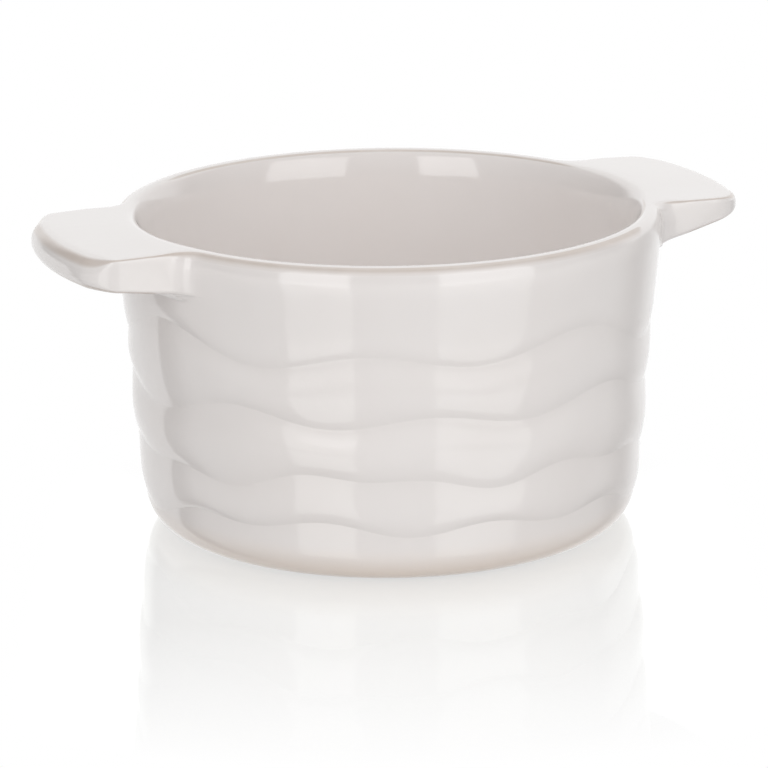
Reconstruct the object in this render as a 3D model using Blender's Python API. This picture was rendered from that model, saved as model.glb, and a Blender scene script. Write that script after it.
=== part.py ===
"""Round baking dish of white glazed ceramic: a turned body with a wavy relief and two lug handles."""

from math import atan2, cos, hypot, log, pi, radians, sin, sqrt, tan

import bmesh
import bpy
from mathutils import Vector

# Driving dimensions of the body, in metres
DISH_HEIGHT = 0.0564
RIM_RADIUS = 0.04835
WALL_DRAFT = radians(5.25)
WALL_THICKNESS = 0.0047
FLOOR_THICKNESS = 0.0043
FLOOR_CORNER_RADIUS = 0.007
LIP_SHOULDER_RADIUS = 0.01
LIP_SHOULDER_ANGLE = radians(12)
LIP_OUTER_ROUNDING = 0.0018
LIP_INNER_ROUNDING = 0.0015
LIP_SOFT_ROUNDING = 0.0025
LIP_FLARE_RADIUS = 0.013
LIP_FLARE_ANGLE = radians(25)
FOOT_CORNER_RADIUS = 0.0063
FOOT_RING_WIDTH = 0.004
FOOT_RECESS_DEPTH = 0.0012

# Driving dimensions of the relief, in metres
RELIEF_DEPTH = 0.0005
FOOT_BAND_HEIGHT = 0.0086
PLAIN_BAND_HEIGHT = 0.0168

# Driving dimensions of a handle, in metres
HANDLE_REACH = 0.0144
HANDLE_ROOT_WIDTH = 0.0374
HANDLE_TIP_WIDTH = 0.0362
HANDLE_ROOT_THICKNESS = 0.0076
LEFT_TIP_THICKNESS = 0.0054
RIGHT_TIP_THICKNESS = 0.0032
HANDLE_TIP_DROP = 0.0004
HANDLE_CORNER_RADIUS = 0.0065
HANDLE_EDGE_ROUNDING = 0.0009
HANDLE_TOP_ROUNDING = 0.0006
HANDLE_SIDE_OVERHANG = 0.0005
HANDLE_ROOT_FILLET = 0.0055
HANDLE_UNDER_FILLET = 0.0012

# Slip joint left between a handle and the body
SEAM_GAP = 0.0003

# Each groove's place between the lowest groove (0) and the highest (1), how far it stands out from the plain wall
# as a share of the relief's depth, and the waves that it rides on: how often a wave goes round the dish,
# its swing as a share of the mean band height, and its phase in degrees
GROOVES = (
    (0.0, -0.3, ((2, 0.20, 140), (4, 0.09, 120), (10, 0.09, 180))),
    (0.288, 0.1, ((2, 0.12, 145), (6, 0.11, -15), (12, 0.07, -155))),
    (0.658, -0.6, ((3, 0.115, 65), (4, 0.13, 135), (8, 0.13, -105))),
    (1.0, -0.7, ((2, 0.078, 119), (4, 0.146, 55), (7, 0.19, -100))),
)

# How far each band's crest stands out from the plain wall, from the foot band up to the plain band
CRESTS = (0.0, 0.7, 1.0, 0.2, 0.0)

# Shape of the relief across a band: where its crest lies above the groove under it, as a share of the band,
# and how round the grooves are
CREST_SHARE = 0.35
GROOVE_ROUNDNESS = 0.35

# How far from a handle's middle the lip's inner edge is fully soft, and from where it is crisp again
SOFT_EDGE_START = radians(4)
SOFT_EDGE_END = radians(27)

# Roundings over and under a handle's tip as shares of its thickness, and where they begin, as a share of the reach
TIP_TOP_FULLNESS = 0.6
TIP_LOW_FULLNESS = 0.35
TIP_ROUNDING_START = 0.75

# How finely the solids are faceted
TURN_STEPS = 96
FOOT_BAND_SHARES = (0.03, 0.12, 0.3, 0.55, 0.8, 1.0)
BAND_SHARES = (0.14, 0.35, 0.7, 1.0)
PLAIN_RISE_SHARES = (0.14, 0.24, 0.35)
SHOULDER_SHARES = (0.0, 0.33, 0.67)
ROUNDING_SHARES = (0.0, 0.33, 0.67, 1.0)
FLARE_SHARES = (0.33, 0.67, 1.0)
FLOOR_CORNER_SHARES = (0.0, 0.25, 0.5, 0.75, 1.0)
FILLET_SHARES = (0.45, 0.6, 0.8, 1.0)
SIDE_SHARES = (0.33, 0.67)
CORNER_SHARES = (0.0, 0.25, 0.5, 0.75, 1.0)
TIP_SHARES = (0.25, 0.5, 0.75)
MERGE_DISTANCE = 0.00001
SHARP_ANGLE = radians(45)

# Where a handle runs out against the wall, its roundings may take these shares of what is left
EDGE_ROUNDING_LIMIT = 0.4
UNDER_FILLET_LIMIT = 0.5
UNDER_FILLET_SHARE = 0.15

# Ceramic colours and gloss
GLAZE_COLOUR = (0.78, 0.755, 0.72, 1.0)
GLAZE_ROUGHNESS = 0.16

WALL_SLOPE = tan(WALL_DRAFT)
BASE_RADIUS = RIM_RADIUS - WALL_SLOPE * DISH_HEIGHT
FOOT_CONTACT_RADIUS = BASE_RADIUS + WALL_SLOPE * FOOT_CORNER_RADIUS - FOOT_CORNER_RADIUS / cos(WALL_DRAFT)
INNER_BASE_RADIUS = BASE_RADIUS - WALL_THICKNESS
SHOULDER_SPAN = LIP_SHOULDER_RADIUS - LIP_OUTER_ROUNDING
SHOULDER_HEIGHT = DISH_HEIGHT - LIP_OUTER_ROUNDING - SHOULDER_SPAN * sin(LIP_SHOULDER_ANGLE)
SHOULDER_START = SHOULDER_HEIGHT - LIP_SHOULDER_RADIUS * sin(WALL_DRAFT)
SHOULDER_CENTRE = BASE_RADIUS + WALL_SLOPE * SHOULDER_START - LIP_SHOULDER_RADIUS * cos(WALL_DRAFT)
CREST_OUTER_RADIUS = SHOULDER_CENTRE + SHOULDER_SPAN * cos(LIP_SHOULDER_ANGLE)
FLOOR_HEIGHT = FOOT_RECESS_DEPTH + FLOOR_THICKNESS
RELIEF_HEIGHT = DISH_HEIGHT - PLAIN_BAND_HEIGHT - FOOT_BAND_HEIGHT
MEAN_BAND_HEIGHT = RELIEF_HEIGHT / (len(GROOVES) - 1)
TIP_RADIUS = RIM_RADIUS + HANDLE_REACH


def remove_scene_objects():
    """Empty the scene, so that the dish stands alone."""
    for thing in list(bpy.data.objects):
        bpy.data.objects.remove(thing, do_unlink=True)


def glazed_material(name):
    """White glaze for one piece."""
    material = bpy.data.materials.new(name)
    material.use_nodes = True
    shader = material.node_tree.nodes["Principled BSDF"]
    shader.inputs["Base Color"].default_value = GLAZE_COLOUR
    shader.inputs["Roughness"].default_value = GLAZE_ROUGHNESS
    shader.inputs["Metallic"].default_value = 0.0
    return material


def add_piece(name, mesh_data):
    """Turn finished bmesh geometry into a named, smooth-shaded object."""
    bmesh.ops.recalc_face_normals(mesh_data, faces=mesh_data.faces)
    mesh = bpy.data.meshes.new(name)
    mesh_data.to_mesh(mesh)
    mesh_data.free()
    mesh.shade_smooth()
    mesh.set_sharp_from_angle(angle=SHARP_ANGLE)
    mesh.materials.append(glazed_material(name + "_glaze"))
    piece = bpy.data.objects.new(name, mesh)
    bpy.context.scene.collection.objects.link(piece)
    return piece


def smooth_step(low, high, value):
    """Rise gently from 0 at low to 1 at high."""
    share = min(1.0, max(0.0, (value - low) / (high - low)))
    return share * share * (3.0 - 2.0 * share)


def groove_height(groove, turn):
    """Height of a groove's valley at one angle round the dish."""
    level, _, waves = groove
    swing = sum(size * cos(count * turn - radians(phase)) for count, size, phase in waves)
    return FOOT_BAND_HEIGHT + level * RELIEF_HEIGHT + swing * MEAN_BAND_HEIGHT


def plain_radius(height):
    """Outer radius of the wall before the relief is pressed in, with the round foot corner."""
    tangent_height = FOOT_CORNER_RADIUS * (1.0 - sin(WALL_DRAFT))
    if height >= tangent_height:
        return BASE_RADIUS + WALL_SLOPE * height
    drop = FOOT_CORNER_RADIUS - height
    return FOOT_CONTACT_RADIUS + sqrt(max(0.0, FOOT_CORNER_RADIUS ** 2 - drop ** 2))


def band_swell(share):
    """How far a band stands out: 0 in the groove under it, 1 on its low crest and 0 in the groove above it."""
    rise = max(0.0, sin(pi * share ** (log(0.5) / log(CREST_SHARE))))
    full = hypot(1.0, GROOVE_ROUNDNESS) - GROOVE_ROUNDNESS
    return (hypot(rise, GROOVE_ROUNDNESS) - GROOVE_ROUNDNESS) / full


def relief_radius(band, height, share):
    """Outer radius of the wall at a share of a band's height."""
    groove = GROOVES[band - 1] if share <= CREST_SHARE else GROOVES[band]
    stand_out = groove[1] + (CRESTS[band] - groove[1]) * band_swell(share)
    return plain_radius(height) + RELIEF_DEPTH * stand_out


def wall_radius(turn, height):
    """Outer radius of the finished wall where a handle may sit, above the top groove."""
    above = max(0.0, height - groove_height(GROOVES[-1], turn))
    return relief_radius(len(GROOVES), height, min(CREST_SHARE, above / MEAN_BAND_HEIGHT))


def wall_section(turn):
    """Outer wall from the foot to the plain band, as radius and height."""
    valleys = [groove_height(groove, turn) for groove in GROOVES]
    rows = []
    for share in FOOT_BAND_SHARES:
        height = share * valleys[0]
        band_share = 1.0 - (valleys[0] - height) / MEAN_BAND_HEIGHT
        radius = plain_radius(height) if band_share <= CREST_SHARE else relief_radius(0, height, band_share)
        rows.append((radius, height))
    for band in range(1, len(GROOVES)):
        for share in BAND_SHARES:
            height = valleys[band - 1] + share * (valleys[band] - valleys[band - 1])
            rows.append((relief_radius(band, height, share), height))
    for share in PLAIN_RISE_SHARES:
        height = valleys[-1] + share * MEAN_BAND_HEIGHT
        rows.append((wall_radius(turn, height), height))
    return rows


class HandleOutline:
    """Plan of a handle, along +X: root fillets, tapering sides, round corners and an end arc about the axis."""

    def __init__(self):
        root = Vector((RIM_RADIUS, HANDLE_ROOT_WIDTH / 2))
        tip = Vector((TIP_RADIUS, HANDLE_TIP_WIDTH / 2))
        self.along = (tip - root).normalized()
        self.outward = Vector((-self.along.y, self.along.x))
        self.root = root
        self.fillet_centre = self.on_circle(HANDLE_ROOT_FILLET, RIM_RADIUS + HANDLE_ROOT_FILLET)
        self.corner_centre = self.on_circle(-HANDLE_CORNER_RADIUS, TIP_RADIUS - HANDLE_CORNER_RADIUS)
        self.side_start = self.fillet_centre - self.outward * HANDLE_ROOT_FILLET
        self.side_end = self.corner_centre + self.outward * HANDLE_CORNER_RADIUS
        self.fillet_turn = atan2(self.fillet_centre.y, self.fillet_centre.x)
        self.side_turn = atan2(self.side_start.y, self.side_start.x)
        self.corner_turn = atan2(self.corner_centre.y, self.corner_centre.x)

    def on_circle(self, offset, radius):
        """Point where the side line, moved outward by offset, crosses a circle about the dish's axis."""
        start = self.root + self.outward * offset
        half = start.dot(self.along)
        return start + self.along * (sqrt(half * half - start.length_squared + radius * radius) - half)

    def half(self):
        """Outline points from the root to the middle of the tip, each with its normal into the handle."""
        points = []
        wall_angle = self.fillet_turn + pi
        side_angle = atan2(-self.outward.y, -self.outward.x) + 2.0 * pi
        for share in FILLET_SHARES:
            angle = wall_angle + share * (side_angle - wall_angle)
            inward = Vector((cos(angle), sin(angle)))
            points.append((self.fillet_centre + inward * HANDLE_ROOT_FILLET, inward))
        for share in SIDE_SHARES:
            points.append((self.side_start.lerp(self.side_end, share), -self.outward))
        start_angle = atan2(self.outward.y, self.outward.x)
        for share in CORNER_SHARES:
            angle = start_angle + share * (self.corner_turn - start_angle)
            outward = Vector((cos(angle), sin(angle)))
            points.append((self.corner_centre + outward * HANDLE_CORNER_RADIUS, -outward))
        for share in TIP_SHARES:
            angle = self.corner_turn * (1.0 - share)
            outward = Vector((cos(angle), sin(angle)))
            points.append((outward * TIP_RADIUS, -outward))
        return points

    def whole(self):
        """Outline points from one root to the other, round the tip."""
        near = self.half()
        middle = (Vector((TIP_RADIUS, 0.0)), Vector((-1.0, 0.0)))
        flip = Vector((1.0, -1.0))
        far = [(point * flip, inward * flip) for point, inward in reversed(near)]
        return near + [middle] + far


HANDLE = HandleOutline()


def outer_lip():
    """Soft shoulder and outer edge of the lip where no handle is, as radius and height."""
    rows = []
    for share in SHOULDER_SHARES:
        lean = share * (LIP_SHOULDER_ANGLE + WALL_DRAFT) - WALL_DRAFT
        radius = SHOULDER_CENTRE + LIP_SHOULDER_RADIUS * cos(lean)
        rows.append((radius, SHOULDER_HEIGHT + LIP_SHOULDER_RADIUS * sin(lean)))
    for share in ROUNDING_SHARES:
        lean = LIP_SHOULDER_ANGLE + share * (pi / 2 - LIP_SHOULDER_ANGLE)
        radius = CREST_OUTER_RADIUS + LIP_OUTER_ROUNDING * cos(lean)
        rows.append((radius, DISH_HEIGHT - LIP_OUTER_ROUNDING * (1.0 - sin(lean))))
    return rows


def inner_lip(from_handle):
    """Inner edge of the lip and the flare under it, as radius and height. The edge is softer beside a handle."""
    crisp = smooth_step(SOFT_EDGE_START, SOFT_EDGE_END, from_handle)
    edge = LIP_SOFT_ROUNDING + crisp * (LIP_INNER_ROUNDING - LIP_SOFT_ROUNDING)
    span = LIP_FLARE_RADIUS - edge
    level = DISH_HEIGHT - edge - span * sin(LIP_FLARE_ANGLE)
    wall = INNER_BASE_RADIUS + WALL_SLOPE * (level + LIP_FLARE_RADIUS * sin(WALL_DRAFT))
    centre = wall + LIP_FLARE_RADIUS * cos(WALL_DRAFT)
    crest = centre - span * cos(LIP_FLARE_ANGLE)
    rows = []
    for share in ROUNDING_SHARES:
        lean = pi / 2 + share * (LIP_FLARE_ANGLE - pi / 2)
        rows.append((crest - edge * cos(lean), DISH_HEIGHT - edge * (1.0 - sin(lean))))
    for share in FLARE_SHARES:
        lean = LIP_FLARE_ANGLE + share * (WALL_DRAFT - LIP_FLARE_ANGLE)
        rows.append((centre - LIP_FLARE_RADIUS * cos(lean), level + LIP_FLARE_RADIUS * sin(lean)))
    return rows


def lip_section(turn):
    """Lip from its shoulder to the inner flare. It is square where a handle carries its top on."""
    across = abs(atan2(sin(turn), cos(turn)))
    from_handle = min(across, pi - across)
    free = smooth_step(HANDLE.side_turn, HANDLE.fillet_turn, from_handle)
    rows = []
    for radius, height in outer_lip():
        square = plain_radius(height)
        rows.append((square + free * (radius - square), height))
    return rows + inner_lip(from_handle)


def inside_section():
    """Inner wall, round floor corner and floor, down to the axis."""
    lean = pi / 2 - WALL_DRAFT
    corner_height = FLOOR_HEIGHT + FLOOR_CORNER_RADIUS
    wall_here = INNER_BASE_RADIUS + WALL_SLOPE * corner_height
    corner_radius = wall_here - FLOOR_CORNER_RADIUS / cos(WALL_DRAFT)
    rows = []
    for share in FLOOR_CORNER_SHARES:
        angle = -WALL_DRAFT - share * lean
        radius = corner_radius + FLOOR_CORNER_RADIUS * cos(angle)
        rows.append((radius, corner_height + FLOOR_CORNER_RADIUS * sin(angle)))
    rows.append((0.0, FLOOR_HEIGHT))
    return rows


def foot_section():
    """Recessed underside and the flat foot ring that the dish stands on."""
    ring_inner = FOOT_CONTACT_RADIUS - FOOT_RING_WIDTH
    return [
        (0.0, FOOT_RECESS_DEPTH),
        (ring_inner - FOOT_RECESS_DEPTH, FOOT_RECESS_DEPTH),
        (ring_inner, 0.0),
        (FOOT_CONTACT_RADIUS, 0.0),
    ]


def body_section(turn):
    """Whole section of the body at one angle, from the axis underneath to the axis inside."""
    return foot_section() + wall_section(turn) + lip_section(turn) + inside_section()


def make_body():
    """Turn the section round the axis, then press the wavy relief into the wall."""
    mesh_data = bmesh.new()
    row_number = mesh_data.verts.layers.int.new("row")
    line = [mesh_data.verts.new((radius, 0.0, height)) for radius, height in body_section(0.0)]
    for number, vertex in enumerate(line):
        vertex[row_number] = number
    edges = [mesh_data.edges.new(pair) for pair in zip(line, line[1:])]
    bmesh.ops.spin(
        mesh_data,
        geom=line + edges,
        cent=(0.0, 0.0, 0.0),
        axis=(0.0, 0.0, 1.0),
        angle=2.0 * pi,
        steps=TURN_STEPS,
        use_merge=True,
    )
    bmesh.ops.remove_doubles(mesh_data, verts=mesh_data.verts, dist=MERGE_DISTANCE)
    for vertex in mesh_data.verts:
        turn = atan2(vertex.co.y, vertex.co.x)
        radius, height = body_section(turn)[vertex[row_number]]
        vertex.co = (radius * cos(turn), radius * sin(turn), height)
    return add_piece("dish_body", mesh_data)


def handle_top(radius):
    """Height of a handle's top, flush with the lip and falling a little to the tip."""
    return DISH_HEIGHT - HANDLE_TIP_DROP * (radius - RIM_RADIUS) / HANDLE_REACH


def handle_bottom(radius, tip_thickness):
    """Height of a handle's underside, rising to the thinner tip."""
    share = (radius - RIM_RADIUS) / HANDLE_REACH
    thickness = HANDLE_ROOT_THICKNESS + share * (tip_thickness - HANDLE_ROOT_THICKNESS)
    return handle_top(radius) - thickness


def handle_section(point, inward, facing, tip_thickness):
    """Closed section of a handle through one outline point, as points in the handle's own frame."""
    turn = atan2(point.y, point.x)
    ray = Vector((cos(turn), sin(turn)))
    reach = point.length - RIM_RADIUS
    clear = reach - SEAM_GAP
    tipward = smooth_step(TIP_ROUNDING_START, 1.0, reach / HANDLE_REACH)
    hug = 1.0 - smooth_step(0.0, HANDLE_ROOT_FILLET, clear)
    top_rounding = HANDLE_TOP_ROUNDING + tipward * (TIP_TOP_FULLNESS * tip_thickness - HANDLE_TOP_ROUNDING)
    low_rounding = HANDLE_EDGE_ROUNDING + tipward * (TIP_LOW_FULLNESS * tip_thickness - HANDLE_EDGE_ROUNDING)
    top = min(top_rounding, EDGE_ROUNDING_LIMIT * clear)
    edge = min(low_rounding, EDGE_ROUNDING_LIMIT * clear)
    under = min(HANDLE_UNDER_FILLET, UNDER_FILLET_LIMIT * clear)
    overhang = HANDLE_SIDE_OVERHANG * (1.0 - hug) * (1.0 - tipward)
    shoulder = edge * (1.0 - sqrt(0.5))
    top_shoulder = top * (1.0 - sqrt(0.5))

    def underside(radius):
        return handle_bottom(radius, tip_thickness)

    def root_at(height):
        plan = ray * (wall_radius(facing + turn, height) + SEAM_GAP)
        return Vector((plan.x, plan.y, height))

    def edge_at(inset, level, lift):
        plan = point + inward * inset
        height = level(plan.length) + lift
        plan = plan - ray * hug * (RIM_RADIUS - wall_radius(facing + turn, height))
        return Vector((plan.x, plan.y, height))

    root_bottom = underside(RIM_RADIUS)
    low_root = root_at(root_bottom - under)
    low_edge = edge_at(edge, underside, 0.0)
    low_inner = low_root.lerp(low_edge, UNDER_FILLET_SHARE)
    low_inner.z = underside(hypot(low_inner.x, low_inner.y))
    return [
        low_root,
        low_inner,
        low_edge,
        edge_at(shoulder, underside, shoulder),
        edge_at(0.0, underside, edge),
        edge_at(-overhang, handle_top, -top),
        edge_at(top_shoulder - overhang, handle_top, -top_shoulder),
        edge_at(top - overhang, handle_top, 0.0),
        root_at(handle_top(RIM_RADIUS)),
        root_at(root_bottom),
    ]


def make_handle(name, facing, tip_thickness):
    """Bend a sheet round the handle's sections and close its two thin ends. Facing is its side of the dish."""
    sections = [handle_section(point, inward, facing, tip_thickness) for point, inward in HANDLE.whole()]
    around = len(sections[0])
    mesh_data = bmesh.new()
    bmesh.ops.create_grid(mesh_data, x_segments=around, y_segments=len(sections) - 1, size=1.0)
    for number, vertex in enumerate(mesh_data.verts):
        section = sections[number // (around + 1)]
        point = section[number % (around + 1) % around]
        turned = (
            point.x * cos(facing) - point.y * sin(facing),
            point.x * sin(facing) + point.y * cos(facing),
            point.z,
        )
        vertex.co = turned
    bmesh.ops.remove_doubles(mesh_data, verts=mesh_data.verts, dist=MERGE_DISTANCE)
    open_edges = [edge for edge in mesh_data.edges if edge.is_boundary]
    bmesh.ops.holes_fill(mesh_data, edges=open_edges, sides=0)
    return add_piece(name, mesh_data)


def main():
    remove_scene_objects()
    make_body()
    make_handle("right_handle", 0.0, RIGHT_TIP_THICKNESS)
    make_handle("left_handle", pi, LEFT_TIP_THICKNESS)


main()
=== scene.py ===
"""Round baking dish of white glazed ceramic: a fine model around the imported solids, on a studio stage."""

from collections import namedtuple
from math import atan2, cos, hypot, log, pi, radians, sin, sqrt, tan

import bpy
from bpy.props import FloatProperty, FloatVectorProperty, PointerProperty
from bpy.types import Operator, Panel, PropertyGroup
from mathutils import Matrix, Vector


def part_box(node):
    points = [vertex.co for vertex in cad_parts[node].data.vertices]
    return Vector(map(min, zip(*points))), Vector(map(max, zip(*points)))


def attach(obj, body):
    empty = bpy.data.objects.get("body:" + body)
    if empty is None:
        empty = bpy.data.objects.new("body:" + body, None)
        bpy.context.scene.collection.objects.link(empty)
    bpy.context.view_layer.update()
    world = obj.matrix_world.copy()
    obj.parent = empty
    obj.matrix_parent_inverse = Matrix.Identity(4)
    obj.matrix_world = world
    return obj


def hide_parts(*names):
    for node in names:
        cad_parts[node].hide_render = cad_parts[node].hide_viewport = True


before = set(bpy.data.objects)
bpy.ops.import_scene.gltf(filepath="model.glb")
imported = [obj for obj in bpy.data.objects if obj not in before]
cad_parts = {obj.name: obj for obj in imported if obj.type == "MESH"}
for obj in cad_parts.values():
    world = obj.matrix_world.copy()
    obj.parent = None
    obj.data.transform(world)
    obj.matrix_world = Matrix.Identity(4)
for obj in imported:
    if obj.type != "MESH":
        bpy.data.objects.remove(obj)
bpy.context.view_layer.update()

bl_info = {
    "name": "Round baking dish",
    "version": (1, 0, 0),
    "blender": (4, 5, 0),
    "location": "View3D > Sidebar > Baking dish",
    "description": "Builds a white glazed baking dish with a wavy relief and two lug handles",
    "category": "Add Mesh",
}

BODY = "root"
DISH_LOW, DISH_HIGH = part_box("dish_body")

# Each groove's place between the lowest groove (0) and the highest (1), how far it stands out from the plain
# wall as a share of the relief's depth, and the waves that it rides on: how often a wave goes round the dish,
# its swing as a share of the mean band height, and its phase in degrees
GROOVES = (
    (0.0, -0.3, ((2, 0.20, 140), (4, 0.09, 120), (10, 0.09, 180))),
    (0.288, 0.1, ((2, 0.12, 145), (6, 0.11, -15), (12, 0.07, -155))),
    (0.658, -0.6, ((3, 0.115, 65), (4, 0.13, 135), (8, 0.13, -105))),
    (1.0, -0.7, ((2, 0.078, 119), (4, 0.146, 55), (7, 0.19, -100))),
)

# How far each band's crest stands out from the plain wall, from the foot band up to the plain band
CRESTS = (0.0, 0.7, 1.0, 0.2, 0.0)

# Shape of the relief across a band: where its crest lies above the groove under it, as a share of the band,
# and how round the grooves are
CREST_SHARE = 0.35
GROOVE_ROUNDNESS = 0.35

# Where the warm line along the lip's outer and inner edge, partly painted shade, fades out: the middle of
# that stretch round the dish, how far from it no line shows, and from how far on all of it shows, in degrees
OUTER_LINE_FADE = (-34, 5, 14)
INNER_LINE_FADE = (160, 14, 36)

# Where the warm line is strongest across the lip's outer edge, as a share of the way up, and how strong it is
# there and at the foot of the edge, where it runs out as a soft painted shade
LINE_PLACE = 0.6
LINE_PEAK = 1.08
LINE_FOOT = 0.78

# From where on a handle's tip rounds off, as a share of its reach
TIP_ROUNDING_START = 0.75

# Where a handle's seam lies across the lip's crest, as a share of its width, and how much painted shade
# darkens the glaze under the handle's root
SEAM_SHARE = 0.5
UNDER_ROOT_SHADE = 0.5

# Noise in the glaze, as scale and detail: clouds in the coat, drift along its edges, and the clay's grain
CLOUDS = (45.0, 3.0)
DRIFT = (160.0, 2.0)
GRAIN = (2600.0, 2.0)

# Iron specks: how fine their cells are, a speck's size in its cell, how many cells stay empty, and its cover
SPECK_SCALE = 110.0
SPECK_SIZE = 0.028
SPECK_RARITY = 0.93
SPECK_COVER = 0.8

# Tints in the glaze: between which clouds the coat gets thicker, how strong the painted shade in the
# grooves is, between which strengths an edge's line shows, and the line's tint, which is partly painted
# shade, alone and with drift
CLOUD_RAMP = (0.35, 0.75)
PAINTED_SHADE_TINT = 0.08
LINE_RAMP = (0.72, 1.0)
LINE_TINT = 0.42
LINE_DRIFT = 0.4

# The foot's tint is partly where the coat ends and partly painted shade low on the wall, where it turns down
# Foot: the heights between which its tint and the bare ring end, how far drift moves them, and the tint
FOOT_RAMP = (0.001, 0.009)
FOOT_DRIFT = 0.0025
FOOT_TINT = 0.45
FOOT_TINT_DRIFT = 0.7
BARE_RAMP = (0.00012, 0.00022)
BARE_DRIFT = 0.0001

# Glaze surface: roughness that clouds and edges add, ripples and grain as shares of the bump, and refraction
CLOUD_ROUGHNESS = 0.03
EDGE_ROUGHNESS = 0.03
CLOUD_RIPPLE = 0.7
DRIFT_RIPPLE = 0.25
GLAZE_GRAIN = 0.02
BARE_GRAIN = 0.3
BUMP_STRENGTH = 0.25
BUMP_DEPTH = 0.0004
GLAZE_IOR = 1.65

# Floor, in metres from the dish's middle: where in front of it the glaze starts to see the table and the
# sheen on it, where a fold in the table starts and ends, where the mirror image starts and how wide it is,
# and how far the shadow reaches from the foot
TABLE_START = (0.02, 0.05)
SHEEN_START = (0.02, 0.06)
FOLD_START = (0.126, 0.146)
FOLD_END = (0.154, 0.172)
MIRROR_START = (-0.03, 0.0)
MIRROR_SIDE = (0.05, 0.062)
SHADOW_REACH = 0.025

# Floor, as shares: where the table's depth ends, the most of the mirror image, what the fold takes off sheen
# and light, how much of the shadow shows, and the roughness of the mirror
TABLE_END = (0.9, 1.1)
MIRROR_LIMIT = 0.65
FOLD_SHEEN = 0.4
FOLD_SHADE = 0.18
SHADOW_SHARE = 0.06
FLOOR_ROUGHNESS = 0.03

# Colours of the stage
WHITE = (1.0, 1.0, 1.0, 1.0)
PAPER = (0.72, 0.72, 0.72, 1.0)
FLOOR_GLOSS = (0.97, 0.985, 0.955, 1.0)

# Room as the glaze sees it: what keeps the level part of a direction, and the edges of the horizon, of the
# right side, of the dark flag behind the dish, and of backdrop and sweep, as sines or cosines of an angle
LEVEL = (1.0, 1.0, 0.0)
HORIZON = (-0.1, 0.0)
RIGHT_EDGE = (0.0, 0.3)
FLAG_EDGE = (0.25, 0.5)
BACKDROP_EDGE = (0.8, 0.95)
SWEEP_EDGE = (0.59, 0.63)
RIGHT_BACKDROP_EDGE = (0.15, 0.45)
RIGHT_SWEEP_EDGE = (0.55, 0.85)

# How much of the table the flag hides, and how much less of it to the right
FLAG_COVER = 0.85
FLAG_RIGHT = 0.35

# Camera: width of its sensor in millimetres, and the nearest that it sees
SENSOR_WIDTH = 36.0
NEAR_CLIP = 0.01

# How much closer together the plain band's rows lie at its groove than at the lip
PLAIN_CROWDING = 1.5

# The middle of a stretch
MIDDLE = 0.5

# How many rows of faces each stretch of the dish's section gets, how many columns each stretch round it, and
# how many sides the floor has
UNDERSIDE_ROWS = 6
RECESS_ROWS = 4
FOOT_RING_ROWS = 3
FOOT_BAND_ROWS = 22
BAND_ROWS = 16
PLAIN_ROWS = 14
UNDER_FILLET_ROWS = 6
HANDLE_UNDERSIDE_ROWS = 8
LOWER_EDGE_ROWS = 7
SIDE_ROWS = 8
UPPER_EDGE_ROWS = 10
HANDLE_TOP_ROWS = 10
CREST_ROWS = 3
INNER_EDGE_ROWS = 8
FLARE_ROWS = 10
INNER_WALL_ROWS = 12
FLOOR_CORNER_ROWS = 10
FLOOR_ROWS = 8
FREE_COLUMNS = 132
FILLET_COLUMNS = 18
SIDE_COLUMNS = 12
CORNER_COLUMNS = 14
TIP_COLUMNS = 10
FLOOR_SIDES = 64


def length(name, description, default, lowest=0.0):
    """A size in metres that a user can change."""
    return FloatProperty(
        name=name, description=description, default=default, min=lowest, precision=4, unit="LENGTH"
    )


def angle(name, description, default):
    """An angle, given in degrees and kept in radians."""
    return FloatProperty(name=name, description=description, default=radians(default), subtype="ANGLE")


def share(name, description, default):
    """A plain number from 0 up."""
    return FloatProperty(name=name, description=description, default=default, min=0.0)


def colour(name, description, default):
    """A colour as the renderer counts it."""
    return FloatVectorProperty(
        name=name, description=description, default=default, size=3, min=0.0, max=1.0, subtype="COLOR"
    )


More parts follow.
